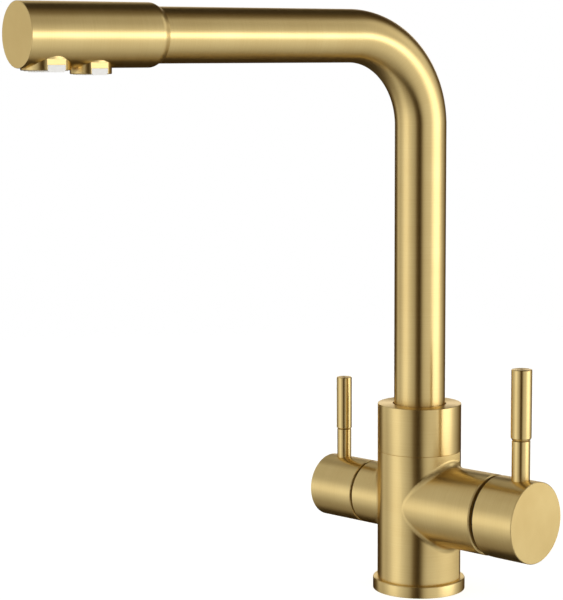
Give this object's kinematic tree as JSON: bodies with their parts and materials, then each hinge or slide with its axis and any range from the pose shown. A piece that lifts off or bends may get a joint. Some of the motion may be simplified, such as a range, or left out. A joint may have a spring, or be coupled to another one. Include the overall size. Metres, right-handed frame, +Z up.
{
  "type": "three way filtered kitchen tap",
  "caption": "Swivel-spout kitchen tap with a mixer lever, a filtered water lever and separate mixed and filtered outlets in one head.",
  "frame": {"origin": "centre of the base ring's underside, on the column's axis, where the tap meets the worktop", "axes": "+Z up along the column; mixer handle on +X; filtered water handle on -X; spout towards -Y, resting swivelled towards -X"},
  "size_m": [0.1466, 0.265, 0.3205],
  "materials": {
    "brushed_gold_brass": "satin brushed, lacquered or coated",
    "plain_brass": "machined",
    "black_rubber": "matte",
    "acetal": "moulded",
    "white_plastic": "moulded",
    "cartridge_plastic": "moulded",
    "ceramic": "lapped",
    "stainless_steel": "turned",
    "pale_hose": "extruded"
  },
  "bodies": {
    "tap_body": {"base_gasket": "black_rubber", "base_ring": "brushed_gold_brass", "body_casting": "brushed_gold_brass", "collar_sleeve": "brushed_gold_brass", "slide_ring": "acetal", "lower_thrust_washer": "acetal", "upper_thrust_washer": "acetal", "cartridge_port_seals": "black_rubber", "cartridge_base": "cartridge_plastic", "cartridge_fixed_disc": "ceramic", "cartridge_housing": "cartridge_plastic", "cartridge_nut": "plain_brass", "valve_seat_seal": "black_rubber", "valve_fixed_disc": "ceramic", "valve_headwork": "plain_brass", "valve_body_seal": "black_rubber"},
    "spout": {"spout_spigot": "plain_brass", "spigot_seals": "black_rubber", "nozzle_seal": "black_rubber", "spout_tube": "brushed_gold_brass", "filtered_water_tube": "pale_hose", "outlet_head": "brushed_gold_brass", "mixed_outlet_housing": "brushed_gold_brass", "mixed_outlet_seal": "black_rubber", "mixed_aerator_insert": "white_plastic", "aerator_screen": "stainless_steel", "filter_outlet_housing": "brushed_gold_brass", "filter_outlet_seal": "black_rubber", "filter_flow_insert": "white_plastic", "filter_elbow": "acetal"},
    "mixer_core": {"cartridge_rotor": "cartridge_plastic", "lever_pivot_pin": "stainless_steel"},
    "mixing_disc": {"cartridge_moving_disc": "ceramic", "disc_driver": "cartridge_plastic"},
    "mixer_handle": {"mixer_spindle": "plain_brass", "mixer_cap": "brushed_gold_brass", "mixer_lever_rod": "brushed_gold_brass", "mixer_lever_grip": "brushed_gold_brass", "mixer_grub_screw": "stainless_steel"},
    "filter_handle": {"valve_turning_disc": "ceramic", "filter_spindle": "plain_brass", "spindle_seal": "black_rubber", "spindle_clip": "stainless_steel", "filter_cap": "brushed_gold_brass", "filter_lever_rod": "brushed_gold_brass", "filter_lever_grip": "brushed_gold_brass", "filter_grub_screw": "stainless_steel"}
  },
  "joints": [
    {"name": "spout_swivel", "type": "hinge", "parent": "tap_body", "child": "spout", "pos_m": [0, 0, 0.09], "axis": [0, 0, 1], "continuous": true},
    {"name": "mixer_temperature", "type": "hinge", "parent": "tap_body", "child": "mixer_core", "pos_m": [0.04, 0, 0.049], "axis": [1, 0, 0], "range_deg": [-45, 45]},
    {"name": "mixer_flow", "type": "hinge", "parent": "mixer_core", "child": "mixer_handle", "pos_m": [0.037, 0, 0.049], "axis": [0, 1, 0], "range_deg": [0, 22]},
    {"name": "disc_slide", "type": "slide", "parent": "mixer_core", "child": "mixing_disc", "axis": [0, 0, 1], "range_m": [0, 0.0037]},
    {"name": "filter_turn", "type": "hinge", "parent": "tap_body", "child": "filter_handle", "pos_m": [-0.05, 0, 0.049], "axis": [1, 0, 0], "range_deg": [0, 90]}
  ],
  "couplings": [
    {"joint": "disc_slide", "follows": "mixer_flow", "m_per_rad": 0.0095}
  ]
}
